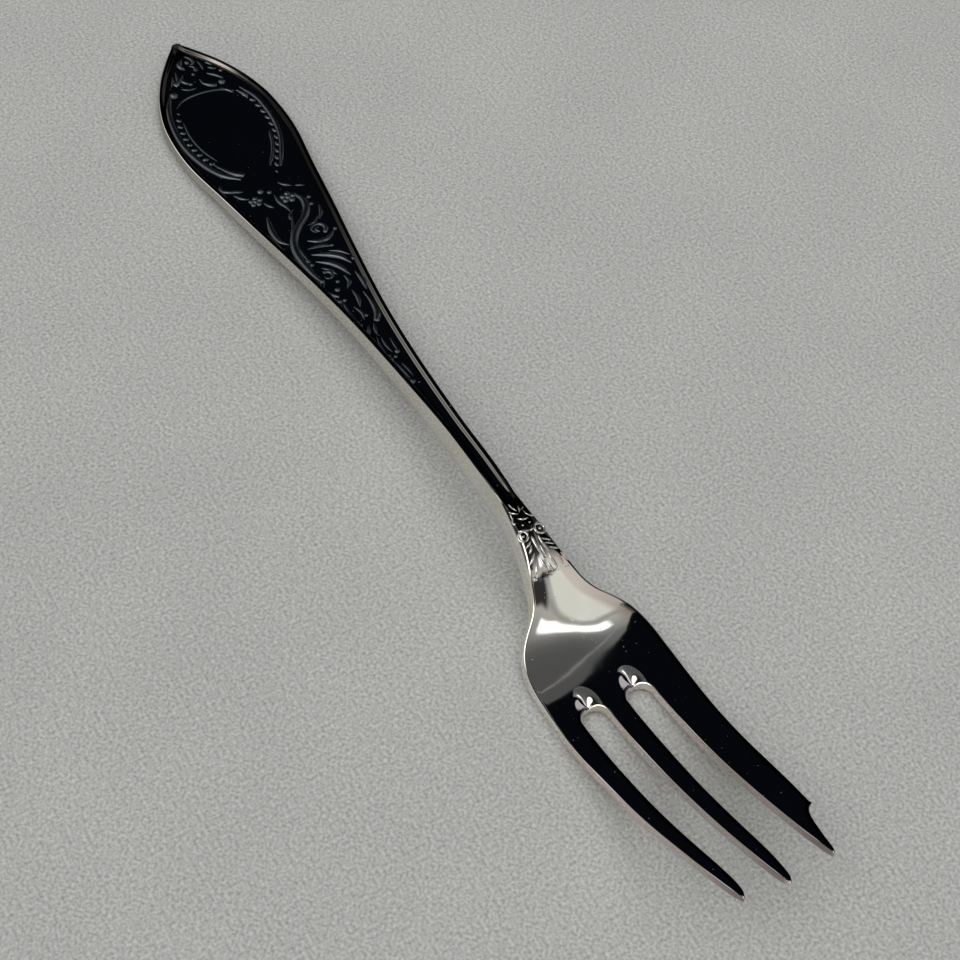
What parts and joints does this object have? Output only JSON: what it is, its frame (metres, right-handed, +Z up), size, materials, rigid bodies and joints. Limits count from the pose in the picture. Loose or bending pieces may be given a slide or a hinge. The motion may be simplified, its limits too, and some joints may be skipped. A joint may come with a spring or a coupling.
{
  "type": "pastry fork",
  "caption": "Pastry fork with a wide notched cutting tine, a dipped shoulder, a slim arched stem and a pointed leaf-shaped handle with relief scrolls round a plain oval.",
  "frame": {"origin": "centre of the fork's box, on the table that it lies on", "axes": "+X along the fork from the handle's point to the tines, +Y towards the wide cutting tine, +Z up, out of the ornamented face"},
  "size_m": [0.1492, 0.0168, 0.0126],
  "materials": {
    "silver": "polished silver with fine scratches, darkened in the recesses"
  },
  "bodies": {
    "root": {"handle": "silver", "oval_band": "silver", "tip_spray": "silver", "scrollwork": "silver", "pendant_drop": "silver", "stem": "silver", "neck": "silver", "neck_spray": "silver", "shoulder_plate": "silver", "plain_tine": "silver", "middle_tine": "silver", "cutting_tine": "silver"}
  },
  "joints": []
}
